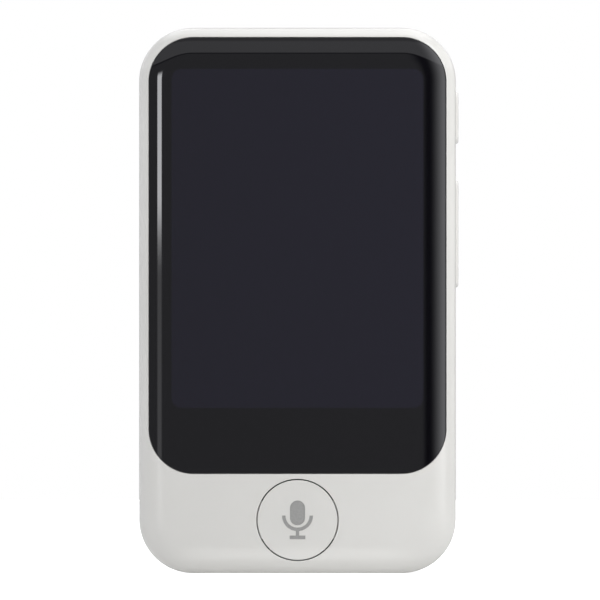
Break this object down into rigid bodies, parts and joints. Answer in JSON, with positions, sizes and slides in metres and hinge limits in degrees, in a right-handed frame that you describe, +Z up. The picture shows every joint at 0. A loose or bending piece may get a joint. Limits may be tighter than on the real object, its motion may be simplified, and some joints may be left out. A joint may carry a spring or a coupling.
{
  "type": "handheld voice translator",
  "caption": "Palm-size upright slab with a curved-edge touch display, a round talk button below it, sprung side keys and a sliding card tray.",
  "frame": {"origin": "centre of the flat bottom edge, on the surface that the device stands on", "axes": "+Z up towards the device's top edge, -Y the way the display faces, +X towards the edge with the power and volume keys"},
  "size_m": [0.0537, 0.0116, 0.0916],
  "materials": {
    "shell": "satin pearl white moulded polycarbonate",
    "cover_glass": "polished glass with black backing, curved edges",
    "icon": "grey printed inlay",
    "display": "unlit liquid crystal cell",
    "backlight": "folded metal tray with a light guide",
    "steel": "stamped or turned steel",
    "tape": "black foam adhesive",
    "board": "green solder mask over glass epoxy",
    "chip": "black moulded epoxy",
    "flex": "amber polyimide film over copper",
    "battery_foil": "laminated foil pouch",
    "rubber": "soft black rubber",
    "nylon": "black moulded nylon",
    "lens": "coated black glass",
    "amber": "clear plastic over yellow phosphor",
    "card": "white card plastic with gold contacts"
  },
  "bodies": {
    "case": {"front_housing": "shell", "rear_cover": "shell", "cover_glass": "cover_glass", "glass_adhesive": "tape", "display_panel": "display", "display_backlight": "backlight", "display_flex": "flex", "display_connector": "nylon", "mid_frame": "steel", "main_board": "board", "lower_board": "board", "board_screw_1": "steel", "board_screw_2": "steel", "board_screw_3": "steel", "board_screw_4": "steel", "processor_chip": "chip", "processor_shield": "steel", "radio_shield": "steel", "battery_connector": "nylon", "link_connector_upper": "nylon", "link_connector_lower": "nylon", "link_flex": "flex", "antenna_flex": "flex", "battery_cell": "battery_foil", "battery_circuit": "chip", "battery_lead": "flex", "talk_switch_board": "board", "talk_dome": "steel", "talk_screw_left": "steel", "talk_screw_right": "steel", "talk_flex": "flex", "side_key_bracket": "steel", "side_key_flex": "flex", "power_dome": "steel", "volume_up_dome": "steel", "volume_down_dome": "steel", "card_socket": "steel", "usb_shell": "steel", "usb_tongue": "nylon", "speaker_frame": "nylon", "speaker_magnet": "steel", "speaker_diaphragm": "rubber", "speaker_mesh": "steel", "lower_microphone": "steel", "lower_microphone_boot": "rubber", "upper_microphone": "steel", "upper_microphone_boot": "rubber", "camera_module": "chip", "camera_ring": "steel", "camera_window": "lens", "flash_led": "amber", "flash_lens": "amber"},
    "talk_button": {"talk_button": "shell", "talk_icon_capsule": "icon", "talk_icon_stand": "icon"},
    "power_key": {"power_key": "shell"},
    "volume_rocker": {"volume_rocker": "shell"},
    "card_tray": {"card_tray": "shell", "sim_card": "card"}
  },
  "joints": [
    {"name": "talk_press", "type": "slide", "parent": "case", "child": "talk_button", "axis": [0, 1, 0], "range_m": [0, 0.0003], "stiffness_N_per_m": 4000, "deforming": ["talk_dome"]},
    {"name": "power_press", "type": "slide", "parent": "case", "child": "power_key", "axis": [-1, 0, 0], "range_m": [0, 0.0003], "stiffness_N_per_m": 4000, "deforming": ["power_dome"]},
    {"name": "volume_tilt", "type": "hinge", "parent": "case", "child": "volume_rocker", "pos_m": [0.02365, -0.0004, 0.057], "axis": [0, 1, 0], "range_deg": [-1.6, 1.6], "stiffness_Nm_per_rad": 0.3, "deforming": ["volume_up_dome", "volume_down_dome"]},
    {"name": "tray_slide", "type": "slide", "parent": "case", "child": "card_tray", "axis": [-1, 0, 0], "range_m": [0, 0.0135]}
  ]
}
